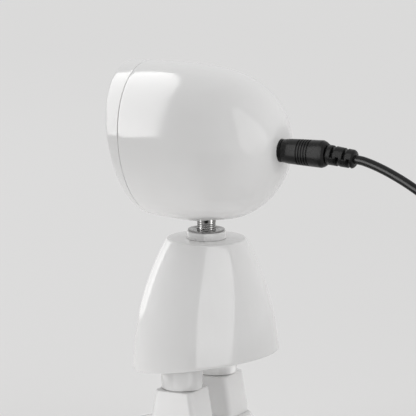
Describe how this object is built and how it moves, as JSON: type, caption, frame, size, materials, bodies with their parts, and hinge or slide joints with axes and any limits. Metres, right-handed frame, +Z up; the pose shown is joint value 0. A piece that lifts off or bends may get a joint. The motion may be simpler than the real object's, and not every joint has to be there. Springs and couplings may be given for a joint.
{
  "type": "table lamp",
  "caption": "Table lamp shaped as a standing astronaut: a round white head with a lit front swivels on a plated neck above a bell-shaped torso, legs and shoes, with a cord and rocker switch.",
  "frame": {"origin": "on the floor plane under the neck axis, at the centre of the lamp's box without its cord", "axes": "+Z up along the neck, -Y the way the lit face looks, +X the figure's left"},
  "size_m": [0.0945, 0.1795, 0.1637],
  "materials": {
    "white_gloss": "moulded, glossy",
    "white_matt": "matt",
    "opal": "opal, light scattering",
    "plated": "bright plated",
    "steel": "zinc plated",
    "aluminium": "pressed sheet",
    "board_green": "solder resist",
    "bush_grey": "natural acetal",
    "sole_rubber": "matt",
    "black_plastic": "satin",
    "black_pvc": "soft satin",
    "brass": "bright"
  },
  "bodies": {
    "stand": {"torso_shell": "white_gloss", "torso_base": "white_gloss", "base_screws": "steel", "neck_collar": "white_gloss", "neck_flange": "plated", "neck_stem": "plated", "stem_nut": "steel", "friction_washer": "steel", "stop_washer": "steel", "lock_nut": "steel", "left_peg": "white_gloss", "right_peg": "white_gloss", "peg_screws": "steel", "left_leg": "white_gloss", "right_leg": "white_gloss", "left_shoe": "white_gloss", "right_shoe": "white_gloss", "left_sole": "sole_rubber", "right_sole": "sole_rubber", "foot_screws": "steel"},
    "head": {"head_shell": "white_gloss", "front_bezel": "white_gloss", "diffuser": "opal", "reflector": "white_matt", "led_board": "white_matt", "led_chips": "opal", "heat_spreader": "aluminium", "board_screws": "steel", "driver_board": "board_green", "swivel_bush": "bush_grey", "dc_jack": "black_plastic", "jack_nut": "steel", "plug_barrel": "plated", "plug_body": "black_pvc", "strain_relief": "black_pvc", "cord_lead": "black_pvc", "switch_lower": "black_plastic", "switch_upper": "black_plastic", "switch_screws": "steel", "switch_contacts": "brass", "rocker_pin": "steel", "cord_link": "black_pvc", "cord_coil": "black_pvc", "cord_tie": "black_plastic", "cord_tail": "black_pvc", "usb_body": "black_pvc", "usb_shell": "plated", "usb_tongue": "white_matt"},
    "rocker": {"switch_rocker": "black_plastic"}
  },
  "joints": [
    {"name": "head_swivel", "type": "hinge", "parent": "stand", "child": "head", "pos_m": [0, 0, 0.0978], "axis": [0, 0, 1], "range_deg": [-90, 90]},
    {"name": "switch_rock", "type": "hinge", "parent": "head", "child": "rocker", "pos_m": [-0.03, 0.088, 0.0072], "axis": [1, 0, 0], "range_deg": [0, 16]}
  ]
}
